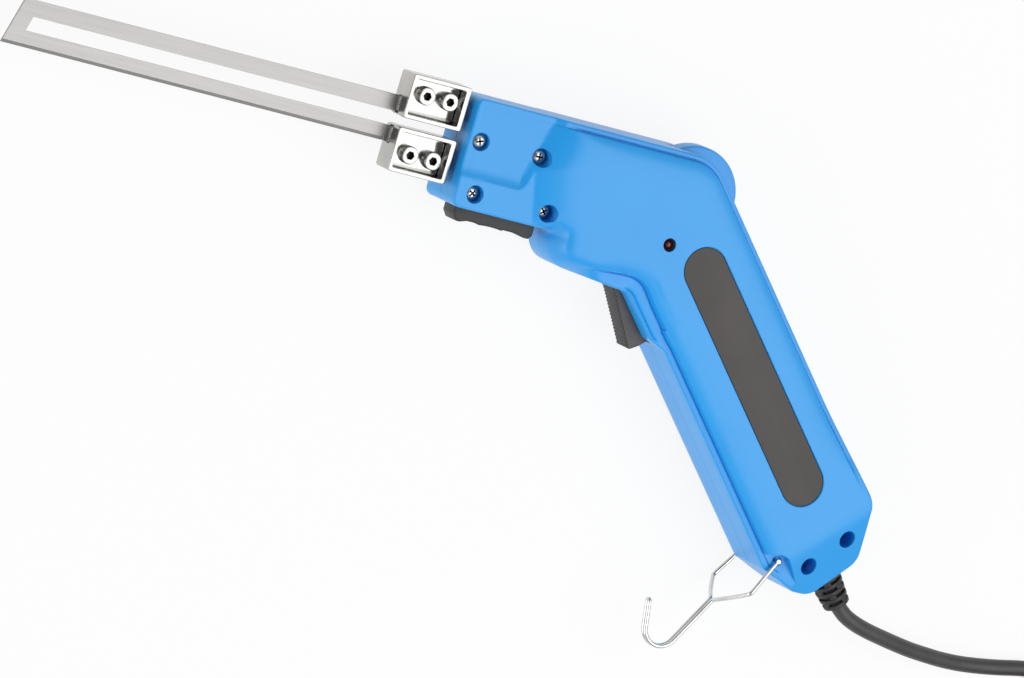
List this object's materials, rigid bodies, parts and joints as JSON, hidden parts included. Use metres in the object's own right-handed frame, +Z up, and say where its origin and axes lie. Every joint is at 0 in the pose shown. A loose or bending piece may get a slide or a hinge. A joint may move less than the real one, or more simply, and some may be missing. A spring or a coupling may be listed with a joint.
{
  "type": "electric hot knife",
  "caption": "Hand held electric hot knife with a slotted steel blade in two screw clamps, an angled blue handle, trigger, heat dial, wire hook and mains lead.",
  "frame": {"origin": "where the handle's centre line crosses the blade's centre line, on the plane that the tool lies on", "axes": "+X along the barrel from the blade towards the handle, +Y towards the tool's top edge, +Z up out of its flat side"},
  "size_m": [0.5845, 0.2848, 0.038],
  "materials": {
    "casing_blue": "satin moulded blue plastic",
    "black_plastic": "fine matt black plastic",
    "blade_steel": "satin rolled steel strip",
    "clamp_nickel": "bright nickel plate",
    "screw_steel": "bright zinc plate",
    "copper": null,
    "core_iron": "dark laminations",
    "insulation": "pale heat resisting plastic",
    "board_green": "green board",
    "capacitor_brown": "brown sleeve",
    "lamp_red": "dark red lens",
    "label_grey": "dark brown grey plate",
    "plunger_red": "red plastic",
    "cord_black": "satin black flexible plastic",
    "tie_black": "black strap"
  },
  "bodies": {
    "casing": {"near_shell": "casing_blue", "far_shell": "casing_blue", "slide_bezel": "black_plastic", "slide_switch": "black_plastic", "micro_switch": "black_plastic", "potentiometer": "black_plastic", "triac": "black_plastic", "lamp_holder": "black_plastic", "cord_clamp": "black_plastic", "blade": "blade_steel", "upper_clamp_cage": "clamp_nickel", "lower_clamp_cage": "clamp_nickel", "upper_clamp_plate": "clamp_nickel", "lower_clamp_plate": "clamp_nickel", "clamp_screws": "clamp_nickel", "housing_screws": "screw_steel", "trigger_pin": "screw_steel", "cord_clamp_screws": "screw_steel", "plug_pins": "screw_steel", "upper_conductor": "copper", "lower_conductor": "copper", "primary_winding": "copper", "secondary_strap": "copper", "transformer_core": "core_iron", "nose_insulator": "insulation", "bobbin": "insulation", "terminal_block": "insulation", "control_board": "board_green", "capacitor": "capacitor_brown", "indicator_lamp": "lamp_red", "label_plate": "label_grey", "strain_relief": "cord_black", "inner_cord": "cord_black", "power_cord": "cord_black", "cord_coil": "cord_black", "cord_tail": "cord_black", "plug_body": "cord_black", "cord_tie": "tie_black"},
    "trigger": {"trigger": "black_plastic"},
    "plunger": {"switch_plunger": "plunger_red"},
    "dial": {"dial_wheel": "casing_blue", "dial_shaft": "screw_steel"},
    "slide_knob": {"slide_knob": "black_plastic"},
    "hook": {"hanging_hook": "screw_steel"}
  },
  "joints": [
    {"name": "trigger_pivot", "type": "hinge", "parent": "casing", "child": "trigger", "pos_m": [0.00223, -0.03758, 0.019], "axis": [0, 0, 1], "range_deg": [0, 8], "stiffness_Nm_per_rad": 0.15, "springref_deg": -1.15},
    {"name": "plunger_slide", "type": "slide", "parent": "casing", "child": "plunger", "axis": [0.7314, 0.682, 0], "range_m": [0, 0.0024]},
    {"name": "dial_turn", "type": "hinge", "parent": "casing", "child": "dial", "pos_m": [0.0173, 0.0006, 0.019], "axis": [0, 0, 1], "range_deg": [0, 280]},
    {"name": "knob_slide", "type": "slide", "parent": "casing", "child": "slide_knob", "axis": [1, 0, 0], "range_m": [-0.004, 0.004]},
    {"name": "hook_swing", "type": "hinge", "parent": "casing", "child": "hook", "pos_m": [0.09133, -0.12609, 0.019], "axis": [0, 0, 1], "range_deg": [-65, 60]}
  ],
  "couplings": [
    {"joint": "plunger_slide", "follows": "trigger_pivot", "m_per_rad": 0.017187}
  ]
}
